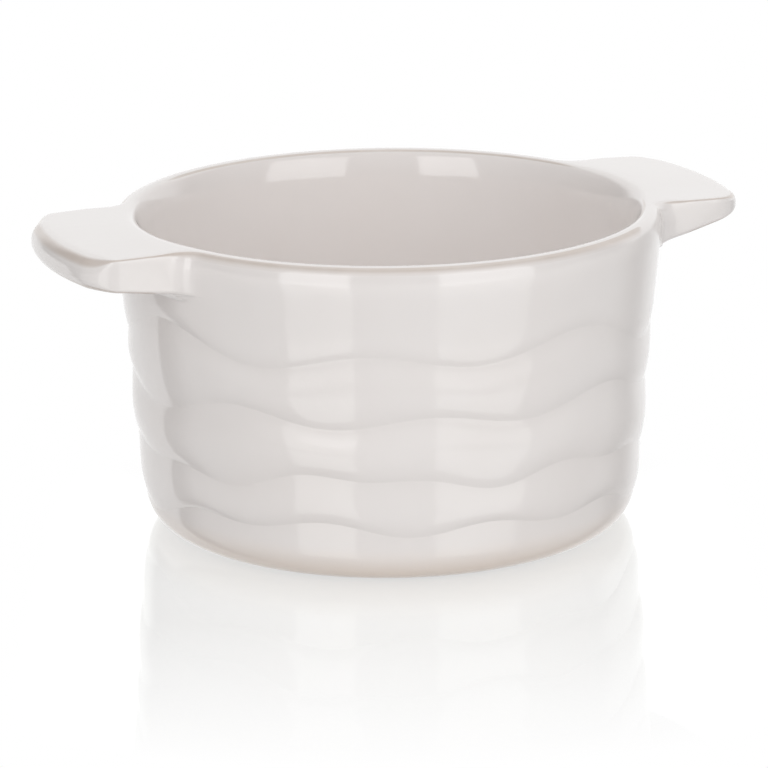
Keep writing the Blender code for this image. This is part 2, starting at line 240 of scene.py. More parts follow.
class DishSizes(PropertyGroup):
    """Sizes of the dish's pieces."""

    height: length("Height", "From the foot to the top of the lip", DISH_HIGH.z - DISH_LOW.z)
    rim_radius: length("Rim radius", "Where the line of the outer wall meets the lip's height", 0.04835)
    wall_draft: angle("Wall draft", "How far the wall leans outward", 5.25)
    shoulder_radius: length("Lip shoulder", "Radius of the soft turn from the wall into the lip", 0.01)
    shoulder_angle: angle("Lip shoulder angle", "Where the soft turn ends and the lip's edge begins", 12)
    lip_edge_radius: length("Lip edge", "Radius of the lip's outer edge", 0.0018)
    wall_thickness: length("Wall thickness", "Between the plain outer wall and the inner wall", 0.0047)
    inner_edge_radius: length("Inner lip edge", "Radius of the lip's inner edge", 0.0015)
    soft_edge_radius: length("Soft inner edge", "Radius of the inner edge in front of a handle", 0.0025)
    soft_edge_start: angle("Soft edge start", "Up to where, from a handle's middle, it is fully soft", 4)
    soft_edge_end: angle("Soft edge end", "From where, from a handle's middle, it is crisp", 27)
    flare_radius: length("Inner flare", "Radius of the flare from the inner wall to the lip", 0.013)
    flare_angle: angle("Inner flare angle", "Where the flare ends and the lip's inner edge begins", 25)
    floor_height: length("Floor height", "Height of the inside floor", 0.0055)
    floor_corner_radius: length("Floor corner", "Radius between the floor and the inner wall", 0.007)
    foot_corner_radius: length("Foot corner", "Radius between the wall and the foot", 0.0063)
    foot_ring_width: length("Foot ring", "Width of the ring that the dish stands on", 0.004)
    foot_recess_depth: length("Foot recess", "Depth of the hollow inside the foot ring", 0.0012)
    relief_depth: length("Relief depth", "How far the fullest band stands out from the wall", 0.0005)
    foot_band_height: length("Foot band", "Mean height of the lowest groove", 0.0086)
    plain_band_height: length("Plain band", "Mean height of the plain band under the lip", 0.0168)
    handle_reach: length("Handle reach", "How far a handle stands out from the rim", 0.0144)
    handle_root_width: length("Handle root width", "Width of a handle at the rim", 0.0374)
    handle_tip_width: length("Handle tip width", "Width of a handle at its tip", 0.0362)
    handle_root_thickness: length("Handle root thickness", "Thickness of a handle at the rim", 0.0076)
    left_tip_thickness: length("Left tip thickness", "Thickness of the left handle at its tip", 0.0054)
    right_tip_thickness: length("Right tip thickness", "Thickness of the right handle at its tip", 0.0032)
    handle_tip_drop: length("Handle drop", "How far a handle's tip lies below the lip", 0.0004)
    handle_corner_radius: length("Handle corner", "Radius of a handle's corners, seen from above", 0.0065)
    handle_edge_rounding: length("Handle lower edge", "Radius along the lower edge of its sides", 0.0009)
    handle_top_rounding: length("Handle upper edge", "Radius along the upper edge of its sides", 0.0006)
    tip_top_fullness: share("Tip upper edge", "Its upper rounding, as a share of its thickness", 0.6)
    tip_low_fullness: share("Tip lower edge", "Its lower rounding, as a share of its thickness", 0.35)
    handle_overhang: length("Handle overhang", "How far its upper edge stands over its lower one", 0.0005)
    handle_root_fillet: length("Handle root fillet", "Radius where its side runs into the rim", 0.0055)
    handle_under_fillet: length("Handle under fillet", "Radius where its underside meets the wall", 0.0012)
    seam_inset: length("Seam inset", "How far inside the rim a handle is let into the lip", 0.0004)
    seam_gap: length("Seam gap", "Room between body and handle, inside the wall", 0.0002)


class GlazeLooks(PropertyGroup):
    """Colours and gloss of the ceramic, with the painted shade that some of its tints carry."""

    glaze: colour("Glaze", "Where the glaze has its full coat", (0.93, 0.888, 0.868))
    clouded: colour("Clouded glaze", "Where the coat runs a little thicker", (0.915, 0.868, 0.845))
    # Painted shade: a darker tone laid into the grooves and under the handles' roots
    pooled: colour("Pooled glaze", "In the grooves", (0.74, 0.68, 0.64))
    # Partly the clay warming a thinner coat, partly painted shade along the edges
    thin_glaze_and_shade: colour("Thin glaze", "Along the edges, where the clay warms the coat", (0.60, 0.50, 0.43))
    # Partly where the coat ends, partly painted shade where the wall turns down into the foot
    foot: colour("Foot glaze", "Where the coat ends above the foot", (0.92, 0.785, 0.67))
    bare: colour("Bare clay", "On the foot ring", (0.62, 0.54, 0.45))
    speck: colour("Speck", "Iron specks in the clay", (0.30, 0.25, 0.21))
    gloss: share("Gloss roughness", "Roughness of the glaze", 0.06)
    bare_roughness: share("Bare roughness", "Roughness of the bare clay", 0.75)


class StageSettings(PropertyGroup):
    """Camera, lights, floor and backdrop."""

    distance: length("Camera distance", "From the middle of the dish to the camera", 0.700)
    target_height: length("Camera target", "Height of the point that the camera is aimed at", 0.028)
    azimuth: angle("Camera azimuth", "How far round the camera stands", -22.107)
    elevation: angle("Camera elevation", "How far above the horizon the camera stands", 15.31)
    roll: angle("Camera roll", "Tilt of the picture", -0.52)
    lens: FloatProperty(name="Lens", description="Focal length", default=184.88, min=1.0, unit="CAMERA")
    shift_across: FloatProperty(name="Shift across", description="Lens shift to the side", default=-0.00703)
    shift_up: FloatProperty(name="Shift up", description="Lens shift upward", default=-0.0319)
    box_distance: length("Softbox distance", "From the dish to a softbox", 1.2)
    box_height: length("Softbox height", "Height of a softbox", 1.3)
    box_bottom: length("Softbox bottom", "Height of its lower edge, under the floor if negative", -0.35, -1.0)
    left_box_radiance: share("Left softbox radiance", "Brightness of its face", 1.92)
    right_box_radiance: share("Right softbox radiance", "Brightness of its face", 1.65)
    left_box_azimuth: angle("Left softbox", "How far to the camera's left it stands", 29.75)
    left_box_width: length("Left softbox width", "Its width", 0.62)
    right_box_azimuth: angle("Right softbox", "How far to the camera's right it stands", 40.5)
    right_box_width: length("Right softbox width", "Its width", 0.88)
    fill: share("Fill light", "Brightness of the room as a light, level with the dish", 0.215)
    top_fill: share("Top light", "Brightness of the room as a light, right above the dish", 0.78)
    room: share("Room", "Brightness of the room as the glaze reflects it", 0.2)
    backdrop: share("Backdrop", "Brightness of the backdrop as the glaze reflects it", 1.22)
    sweep: share("Sweep", "Brightness of the backdrop's foot as the glaze reflects it", 1.05)
    backdrop_turn: angle("Backdrop turn", "How far to the camera's left its middle lies", 7)
    table: share("Table", "Brightness of the table as the glaze reflects it", 0.75)
    floor_radius: length("Floor radius", "Radius of the floor", 1.6)
    table_depth: length("Table depth", "How far the table reaches in front of the dish's middle", 0.3)
    mirror: share("Floor mirror", "How much the floor mirrors right at the foot", 0.5)
    mirror_reach: length("Mirror reach", "How far from the foot the mirror image fades out", 0.09)
    sheen: share("Floor sheen", "How much of the softboxes the glaze sees in the floor", 0.5)


Column = namedtuple("Column", "turn point inward reach handle tip_thickness")
# Third value: painted shade in the grooves and under the handles; fourth: how much of an edge's line shows
Spot = namedtuple("Spot", "radius height pool edge", defaults=(0.0, 0.0))
Place = namedtuple("Place", "plan height pool edge", defaults=(0.0, 0.0))
InnerLip = namedtuple("InnerLip", "edge crest centre height")


def smooth_step(low, high, value):
    """Rise gently from 0 at low to 1 at high."""
    part = min(1.0, max(0.0, (value - low) / (high - low)))
    return part * part * (3.0 - 2.0 * part)


def steps(count):
    """Even shares of a stretch, without its start."""
    return [number / count for number in range(1, count + 1)]


def gathered_steps(count):
    """Shares of a stretch that lie closer together at its ends."""
    return [(1.0 - cos(pi * part)) / 2.0 for part in steps(count)]


def quarter_turn(count):
    """Even angles up to a quarter of a turn, without its start."""
    return [part * pi / 2 for part in steps(count)]


def apart(turn, other):
    """How far apart two angles are, either way round."""
    return abs(atan2(sin(turn - other), cos(turn - other)))


def mix(low, high, part):
    """The value, vector or wire that lies the given part of the way from low to high."""
    return low + (high - low) * part


def band_swell(part):
    """How far a band stands out: 0 in the grooves under and above it, and 1 on its low crest."""
    skew = part ** (log(MIDDLE) / log(CREST_SHARE))
    rise = max(0.0, swell(skew))
    full = hypot(1.0, GROOVE_ROUNDNESS) - GROOVE_ROUNDNESS
    return (hypot(rise, GROOVE_ROUNDNESS) - GROOVE_ROUNDNESS) / full


def swell(part):
    """A value that rises from 0 to 1 in the middle of a stretch and falls back to 0."""
    return sin(pi * part)


def line_strength(cover, turn):
    """How much of the warm line along an edge shows at one angle round the dish."""
    middle, hidden, shown = (radians(value) for value in cover)
    return smooth_step(hidden, shown, apart(turn, middle))


def lip_line(part):
    """How strong the warm line is across the lip's outer edge: a soft painted shade below and crisp above."""
    if part < LINE_PLACE:
        return mix(LINE_FOOT, LINE_PEAK, (part / LINE_PLACE) ** 2)
    return LINE_PEAK * swell(mix(MIDDLE, 1.0, (part - LINE_PLACE) / (1.0 - LINE_PLACE)))


def on_ray(ray, spots):
    """Spots of a section, laid out along one ray from the axis."""
    return [Place(ray * spot.radius, spot.height, spot.pool, spot.edge) for spot in spots]


class HandleOutline:
    """Plan of a handle along +X: root fillets, tapering sides, round corners and an arc round the axis."""

    def __init__(self, size):
        self.size = size
        self.tip_radius = size.rim_radius + size.handle_reach
        self.root = Vector((size.rim_radius, size.handle_root_width / 2))
        tip = Vector((self.tip_radius, size.handle_tip_width / 2))
        self.along = (tip - self.root).normalized()
        self.outward = Vector((-self.along.y, self.along.x))
        fillet = size.handle_root_fillet
        corner = size.handle_corner_radius
        self.fillet_centre = self.on_circle(fillet, size.rim_radius + fillet)
        self.corner_centre = self.on_circle(-corner, self.tip_radius - corner)
        self.side_start = self.fillet_centre - self.outward * fillet
        self.side_end = self.corner_centre + self.outward * corner
        self.fillet_turn = atan2(self.fillet_centre.y, self.fillet_centre.x)
        self.corner_turn = atan2(self.corner_centre.y, self.corner_centre.x)

    def on_circle(self, offset, radius):
        """Point where the side line, moved outward by offset, crosses a circle about the dish's axis."""
        start = self.root + self.outward * offset
        half = start.dot(self.along)
        return start + self.along * (sqrt(half * half - start.length_squared + radius * radius) - half)

    def half(self):
        """Outline points from the root to just before the middle of the tip, each with its normal inward."""
        wall_angle = self.fillet_turn + pi
        side_angle = atan2(-self.outward.y, -self.outward.x) + 2.0 * pi
        points = []
        for part in [0.0] + steps(FILLET_COLUMNS):
            lean = mix(wall_angle, side_angle, part)
            inward = Vector((cos(lean), sin(lean)))
            points.append((self.fillet_centre + inward * self.size.handle_root_fillet, inward))
        for part in steps(SIDE_COLUMNS):
            points.append((self.side_start.lerp(self.side_end, part), -self.outward))
        start_angle = atan2(self.outward.y, self.outward.x)
        for part in steps(CORNER_COLUMNS):
            lean = mix(start_angle, self.corner_turn, part)
            outward = Vector((cos(lean), sin(lean)))
            points.append((self.corner_centre + outward * self.size.handle_corner_radius, -outward))
        for part in steps(TIP_COLUMNS)[:-1]:
            lean = self.corner_turn * (1.0 - part)
            outward = Vector((cos(lean), sin(lean)))
            points.append((outward * self.tip_radius, -outward))
        return points

    def whole(self):
        """Outline points from the clockwise root to the other one, round the tip."""
        near = self.half()
        flip = Vector((1.0, -1.0))
        middle = (Vector((self.tip_radius, 0.0)), Vector((-1.0, 0.0)))
        return [(point * flip, inward * flip) for point, inward in near] + [middle] + near[::-1]


class DishForm:
    """The dish's skin as columns of spots, each running from the axis underneath to the axis inside."""

    def __init__(self, size):
        self.size = size
        self.outline = HandleOutline(size)
        self.slope = tan(size.wall_draft)
        self.base_radius = size.rim_radius - self.slope * size.height
        self.relief_height = size.height - size.plain_band_height - size.foot_band_height
        self.band_height = self.relief_height / (len(GROOVES) - 1)
        foot = size.foot_corner_radius
        self.foot_contact = self.base_radius + self.slope * foot - foot / cos(size.wall_draft)
        self.root_bottom = size.height - size.handle_root_thickness
        self.seam_height = self.root_bottom - size.handle_under_fillet
        self.set_lip()
        self.columns = self.make_columns()
        self.make_rows()

    def set_lip(self):
        """Centres of the arcs that make the lip."""
        size = self.size
        span = size.shoulder_radius - size.lip_edge_radius
        rise = span * sin(size.shoulder_angle)
        self.shoulder_height = size.height - size.lip_edge_radius - rise
        self.shoulder_start = self.shoulder_height - size.shoulder_radius * sin(size.wall_draft)
        wall = self.base_radius + self.slope * self.shoulder_start
        self.shoulder_centre = wall - size.shoulder_radius * cos(size.wall_draft)
        self.shoulder_end = self.shoulder_height + size.shoulder_radius * sin(size.shoulder_angle)
        self.crest_outer = self.shoulder_centre + span * cos(size.shoulder_angle)

    def inner_lip(self, turn):
        """Radii of the inner edge and the crest, and the flare's centre and height, at one angle."""
        size = self.size
        from_handle = apart(2.0 * turn, 0.0) / 2.0
        soft = 1.0 - smooth_step(size.soft_edge_start, size.soft_edge_end, from_handle)
        edge = mix(size.inner_edge_radius, size.soft_edge_radius, soft)
        span = size.flare_radius - edge
        height = size.height - edge - span * sin(size.flare_angle)
        start = height + size.flare_radius * sin(size.wall_draft)
        wall = self.base_radius - size.wall_thickness + self.slope * start
        centre = wall + size.flare_radius * cos(size.wall_draft)
        return InnerLip(edge, centre - span * cos(size.flare_angle), centre, height)

    def make_columns(self):
        """Places round the dish, with the columns of each handle in one run."""
        rim = self.size.rim_radius
        gap = pi - 2.0 * self.outline.fillet_turn
        tips = (self.size.right_tip_thickness, self.size.left_tip_thickness)
        columns = []
        for handle, tip_thickness in enumerate(tips):
            facing = Matrix.Rotation(handle * pi, 2)
            for point, inward in self.outline.whole():
                place = facing @ point
                turn = atan2(place.y, place.x)
                reach = max(0.0, place.length - rim)
                columns.append(Column(turn, place, facing @ inward, reach, handle, tip_thickness))
            for number in range(1, FREE_COLUMNS):
                turn = handle * pi + self.outline.fillet_turn + gap * number / FREE_COLUMNS
                ray = Vector((cos(turn), sin(turn)))
                columns.append(Column(turn, ray * rim, -ray, 0.0, None, None))
        return columns

    def plain_radius(self, height):
        """Outer radius before the relief is pressed in, from the round foot corner to the lip's shoulder."""
        size = self.size
        if height > self.shoulder_start:
            over = height - self.shoulder_height
            return self.shoulder_centre + sqrt(size.shoulder_radius ** 2 - over ** 2)
        if height >= size.foot_corner_radius * (1.0 - sin(size.wall_draft)):
            return self.base_radius + self.slope * height
        drop = size.foot_corner_radius - height
        return self.foot_contact + sqrt(max(0.0, size.foot_corner_radius ** 2 - drop ** 2))

    def groove_height(self, groove, turn):
        """Height of a groove's valley at one angle round the dish."""
        level, _, waves = groove
        swing = sum(reach * cos(count * turn - radians(phase)) for count, reach, phase in waves)
        return self.size.foot_band_height + level * self.relief_height + swing * self.band_height

    def spot(self, band, height, band_share):
        """A spot on the outer wall, at a share of its band's height."""
        groove = GROOVES[band - 1] if band_share <= CREST_SHARE else GROOVES[band]
        full = band_swell(band_share)
        stand_out = self.size.relief_depth * mix(groove[1], CRESTS[band], full)
        # Painted shade, strongest in the grooves and gone on the crest
        return Spot(self.plain_radius(height) + stand_out, height, 1.0 - full)

    def foot_spot(self, valley, height):
        """A spot on the foot band, whose crest runs on down to the foot."""
        band_share = 1.0 - (valley - height) / self.band_height
        if band_share <= CREST_SHARE:
            return Spot(self.plain_radius(height), height)
        return self.spot(0, height, band_share)

    def plain_spot(self, turn, height):
        """A spot on the plain band, whose crest runs on up to the lip."""
        above = max(0.0, height - self.groove_height(GROOVES[-1], turn))
        return self.spot(len(GROOVES), height, min(CREST_SHARE, above / self.band_height))

    def foot_spots(self):
        """Underside, from the axis to the edge of the foot ring."""
        size = self.size
        ring_inner = self.foot_contact - size.foot_ring_width
        recess = size.foot_recess_depth
        spots = [Spot(0.0, recess)]
        for part in steps(UNDERSIDE_ROWS):
            spots.append(Spot((ring_inner - recess) * part, recess))
        for part in steps(RECESS_ROWS):
            drop = smooth_step(0.0, 1.0, part)
            spots.append(Spot(mix(ring_inner - recess, ring_inner, part), recess * (1.0 - drop)))
        for part in steps(FOOT_RING_ROWS):
            spots.append(Spot(mix(ring_inner, self.foot_contact, part), 0.0))
        return spots

    def wall_spots(self, turn):
        """Outer wall from the foot to the height where a handle may begin."""
        valleys = [self.groove_height(groove, turn) for groove in GROOVES]
        spots = []
        for part in gathered_steps(FOOT_BAND_ROWS):
            spots.append(self.foot_spot(valleys[0], part * valleys[0]))
        for band in range(1, len(GROOVES)):
            for part in gathered_steps(BAND_ROWS):
                spots.append(self.spot(band, mix(valleys[band - 1], valleys[band], part), part))
        for part in steps(PLAIN_ROWS):
            spots.append(self.plain_spot(turn, mix(valleys[-1], self.seam_height, part ** PLAIN_CROWDING)))
        return spots

    def free_lip(self, turn):
        """Upper wall and lip where no handle is."""
        size = self.size
        low = self.root_bottom + size.handle_edge_rounding
        crest_inner = self.inner_lip(turn).crest
        ring = mix(self.crest_outer, crest_inner, SEAM_SHARE)
        line = line_strength(OUTER_LINE_FADE, turn)
        under = size.handle_under_fillet
        heights = [self.seam_height + under * sin(lean) for lean in quarter_turn(UNDER_FILLET_ROWS)]
        heights += [self.root_bottom] * HANDLE_UNDERSIDE_ROWS
        heights += [low - size.handle_edge_rounding * cos(lean) for lean in quarter_turn(LOWER_EDGE_ROWS)]
        heights += [mix(low, self.shoulder_end, part) for part in steps(SIDE_ROWS)]
        spots = [self.plain_spot(turn, height) for height in heights]
        for part in steps(UPPER_EDGE_ROWS):
            lean = mix(size.shoulder_angle, pi / 2, part)
            radius = self.crest_outer + size.lip_edge_radius * cos(lean)
            height = size.height - size.lip_edge_radius * (1.0 - sin(lean))
            # The edge's warm line here is partly painted shade
            spots.append(Spot(radius, height, 0.0, line * lip_line(part)))
        for part in steps(HANDLE_TOP_ROWS):
            spots.append(Spot(mix(self.crest_outer, ring, part), size.height))
        for part in steps(CREST_ROWS):
            spots.append(Spot(mix(ring, crest_inner, part), size.height))
        return spots

    def handle_top(self, radius):
        """Height of a handle's top, flush with the lip and falling a little to the tip."""
        over = max(0.0, radius - self.size.rim_radius)
        return self.size.height - self.size.handle_tip_drop * over / self.size.handle_reach

    def handle_bottom(self, radius, tip_thickness):
        """Height of a handle's underside, rising to the thinner tip."""
        part = max(0.0, radius - self.size.rim_radius) / self.size.handle_reach
        return self.handle_top(radius) - mix(self.size.handle_root_thickness, tip_thickness, part)

    def handle_lip(self, column, hug):
        """Section of a handle from the wall under it, round its edge, to the lip's inner edge."""
        size = self.size
        rim = size.rim_radius
        ray = column.point.normalized()
        tipward = smooth_step(TIP_ROUNDING_START, 1.0, column.reach / size.handle_reach)
        edge = mix(size.handle_edge_rounding, size.tip_low_fullness * column.tip_thickness, tipward)
        squeeze = min(1.0, column.reach / (size.handle_under_fillet + edge))
        fillet_end = ray * (rim + size.handle_under_fillet * squeeze)
        fillet_top = self.handle_bottom(fillet_end.length, column.tip_thickness)
        low_edge = column.point + column.inward * edge * squeeze
        low = self.handle_bottom(low_edge.length, column.tip_thickness)
        round_top = mix(size.handle_top_rounding, size.tip_top_fullness * column.tip_thickness, tipward)
        side_top = column.point - column.inward * size.handle_overhang * (1.0 - hug) * (1.0 - tipward)
        top_edge = side_top + column.inward * round_top
        top = self.handle_top(top_edge.length)
        crest_inner = self.inner_lip(column.turn).crest
        ring_near = mix(rim - round_top, crest_inner, SEAM_SHARE)
        ring = ray * mix(rim - size.seam_inset, ring_near, hug)
        sharp = 1.0 - hug
        rows = []
        for part in steps(UNDER_FILLET_ROWS):
            lean = part * pi / 2
            plan = ray * mix(rim, fillet_end.length, 1.0 - cos(lean))
            height = mix(self.seam_height, fillet_top, sin(lean))
            # Painted shade under the handle's root, along its under fillet
            rows.append(Place(plan, height, UNDER_ROOT_SHADE * sharp * swell(part)))
        for part in steps(HANDLE_UNDERSIDE_ROWS):
            plan = fillet_end.lerp(low_edge, part)
            rows.append(Place(plan, self.handle_bottom(plan.length, column.tip_thickness)))
        # The lines along the handle's edges are partly painted shade
        for part in steps(LOWER_EDGE_ROWS):
            lean = part * pi / 2
            plan = low_edge.lerp(column.point, sin(lean))
            rows.append(Place(plan, low + edge * (1.0 - cos(lean)), 0.0, sharp * swell(part)))
        for part in steps(SIDE_ROWS):
            rows.append(Place(column.point.lerp(side_top, part), mix(low + edge, top - round_top, part)))
        for part in steps(UPPER_EDGE_ROWS):
            lean = part * pi / 2
            plan = side_top.lerp(top_edge, 1.0 - cos(lean))
            rows.append(Place(plan, top - round_top * (1.0 - sin(lean)), 0.0, swell(part)))
        for part in steps(HANDLE_TOP_ROWS):
            plan = top_edge.lerp(ring, part)
            rows.append(Place(plan, self.handle_top(plan.length)))
        for part in steps(CREST_ROWS):
            rows.append(Place(ring.lerp(ray * crest_inner, part), size.height))
        return rows

    def blended_lip(self, column):
        """Section of a handle that runs out into the plain lip along its root fillet."""
        hug = 1.0 - smooth_step(0.0, self.size.handle_root_fillet, column.reach)
        ray = column.point.normalized()
        still = column._replace(point=ray * self.size.rim_radius, inward=-ray, reach=0.0)
        rows = []
        for here, base, free in zip(
            self.handle_lip(column, hug), self.handle_lip(still, 1.0), self.free_lip(column.turn)
        ):
            plan = here.plan + ray * hug * (free.radius - base.plan.length)
            height = here.height + hug * (free.height - base.height)
            rows.append(Place(plan, height, mix(here.pool, free.pool, hug), mix(here.edge, free.edge, hug)))
        return rows

    def inside_spots(self, turn):
        """Inside, from the lip's inner edge to the axis."""
        size = self.size
        lip = self.inner_lip(turn)
        line = line_strength(INNER_LINE_FADE, turn) * size.inner_edge_radius / lip.edge
        spots = []
        for part in steps(INNER_EDGE_ROWS):
            lean = mix(pi / 2, size.flare_angle, part)
            radius = lip.crest - lip.edge * cos(lean)
            spots.append(Spot(radius, size.height - lip.edge * (1.0 - sin(lean)), 0.0, line * swell(part)))
        for part in steps(FLARE_ROWS):
            lean = mix(size.flare_angle, size.wall_draft, part)
            radius = lip.centre - size.flare_radius * cos(lean)
            spots.append(Spot(radius, lip.height + size.flare_radius * sin(lean)))
        wall = spots[-1]
        corner = size.floor_corner_radius
        corner_height = size.floor_height + corner
        wall_here = wall.radius - self.slope * (wall.height - corner_height)
        corner_centre = wall_here - corner / cos(size.wall_draft)
        tangent_radius = corner_centre + corner * cos(size.wall_draft)
        tangent_height = corner_height - corner * sin(size.wall_draft)
        for part in steps(INNER_WALL_ROWS):
            radius = mix(wall.radius, tangent_radius, part)
            spots.append(Spot(radius, mix(wall.height, tangent_height, part)))
        for part in steps(FLOOR_CORNER_ROWS):
            lean = mix(size.wall_draft, pi / 2, part)
            spots.append(Spot(corner_centre + corner * cos(lean), corner_height - corner * sin(lean)))
        for part in steps(FLOOR_ROWS):
            spots.append(Spot(corner_centre * (1.0 - part), size.floor_height))
        return spots

    def make_rows(self):
        """Points of the skin, column by column, and the rows between which a handle is its own piece."""
        foot = self.foot_spots()
        self.points = []
        self.painted_shades = []
        self.edges = []
        for column in self.columns:
            ray = column.point.normalized()
            wall = self.wall_spots(column.turn)
            inside = self.inside_spots(column.turn)
            if column.reach > 0.0:
                lip = self.blended_lip(column)
            else:
                lip = on_ray(ray, self.free_lip(column.turn))
            for plan, height, pool, edge in on_ray(ray, foot + wall) + lip + on_ray(ray, inside):
                self.points.append((plan.x, plan.y, height))
                self.painted_shades.append(pool)
                self.edges.append(edge)
        self.row_count = len(foot) + len(wall) + len(lip) + len(inside)
        self.seam_low = len(foot) + len(wall) - 1
        self.seam_top = self.seam_low + len(lip) - CREST_ROWS
        self.flat_low = self.seam_low + UNDER_FILLET_ROWS
        self.flat_high = self.flat_low + HANDLE_UNDERSIDE_ROWS

    def corner(self, column, row):
        """Number of the point at a column and a row, with points that fall together counted once."""
        column = column % len(self.columns)
        if row in (0, self.row_count - 1):
            column = 0
        if self.columns[column].reach == 0.0 and self.flat_low < row <= self.flat_high:
            row = self.flat_low
        return column * self.row_count + row

    def run(self, handle):
        """First and last column of a handle."""
        own = [number for number, column in enumerate(self.columns) if column.handle == handle]
        return own[0], own[-1]

    def face(self, column, row):
        """Corners of the face between two columns and two rows, or nothing where they fall together."""
        places = ((column, row), (column + 1, row), (column + 1, row + 1), (column, row + 1))
        corners = list(dict.fromkeys(self.corner(*place) for place in places))
        return tuple(corners) if len(corners) > 2 else None

    def split(self):
        """Faces of the body and of each handle, so far without what closes them inside the wall."""
        body = []
        handles = ([], [])
        for column, here in enumerate(self.columns):
            after = self.columns[(column + 1) % len(self.columns)]
            shared = here.handle is not None and here.handle == after.handle
            for row in range(self.row_count - 1):
                face = self.face(column, row)
                if not face:
                    continue
                if shared and self.seam_low <= row < self.seam_top:
                    handles[here.handle].append(face)
                else:
                    body.append(face)
        return body, handles

    def seat(self, handle, shift, first_new):
        """Points and faces, facing the handle, that close the lip where a handle is let in."""
        first, last = self.run(handle)
        points = []
        for column in range(first, last + 1):
            low = Vector(self.points[self.corner(column, self.seam_low)])
            high = Vector(self.points[self.corner(column, self.seam_top)])
            middle = low.lerp(high, MIDDLE)
            ray = Vector((middle.x, middle.y, 0.0)).normalized()
            if first < column < last:
                middle = middle + ray * shift
            points.append(tuple(middle))
        faces = []
        for column in range(first, last):
            here = first_new + column - first
            low = (self.corner(column, self.seam_low), self.corner(column + 1, self.seam_low))
            high = (self.corner(column, self.seam_top), self.corner(column + 1, self.seam_top))
            faces.append((low[0], low[1], here + 1, here))
            faces.append((here, here + 1, high[1], high[0]))
        for column, middle in ((first, first_new), (last, first_new + last - first)):
            rows = range(self.seam_low, self.seam_top + 1)
            end = list(dict.fromkeys(self.corner(column, row) for row in rows)) + [middle]
            faces.append(tuple(end[::-1] if column == first else end))
        return points, faces

    def skin_normals(self):
        """Smooth normals of the whole skin, so that no seam shows where a handle leaves the lip."""
        body, handles = self.split()
        whole = bpy.data.meshes.new("whole_skin")
        whole.from_pydata(self.points, [], body + handles[0] + handles[1])
        normals = [normal.vector.copy() for normal in whole.vertex_normals]
        bpy.data.meshes.remove(whole)
        return normals

    def piece(self, name, skin, seats):
        """A closed mesh of skin faces and of seats, as points and faces, with the whole skin's normals."""
        normals = self.skin_normals()
        points = list(self.points)
        faces = list(skin)
        for seat_points, seat_faces in seats:
            points += seat_points
            faces += seat_faces
        used = sorted({corner for face in faces for corner in face})
        place = {corner: number for number, corner in enumerate(used)}
        mesh = bpy.data.meshes.new(name)
        own_faces = [[place[corner] for corner in face] for face in faces]
        mesh.from_pydata([points[corner] for corner in used], [], own_faces)
        mesh.shade_smooth()
        custom = []
        for number, polygon in enumerate(mesh.polygons):
            for vertex in polygon.vertices:
                custom.append(normals[used[vertex]] if number < len(skin) else polygon.normal.copy())
        mesh.normals_split_custom_set(custom)
        # Painted shade and the edges' line, for the glaze to read
        for label, values in (("pool", self.painted_shades), ("edge", self.edges)):
            attribute = mesh.attributes.new(label, "FLOAT", "POINT")
            own = [values[corner] if corner < len(values) else 0.0 for corner in used]
            attribute.data.foreach_set("value", own)
        thing = bpy.data.objects.new(name, mesh)
        bpy.context.scene.collection.objects.link(thing)
        return thing

    def body_piece(self):
        """The body, with a seat in its lip for each handle."""
        body, _ = self.split()
        right = self.seat(0, -self.size.seam_gap / 2, len(self.points))
        left = self.seat(1, -self.size.seam_gap / 2, len(self.points) + len(right[0]))
        return self.piece("glazed_body", body, [right, left])

    def handle_piece(self, name, handle):
        """One handle, closed where it sits in the lip."""
        points, faces = self.seat(handle, self.size.seam_gap / 2, len(self.points))
        return self.piece(name, self.split()[1][handle], [(points, [face[::-1] for face in faces])])


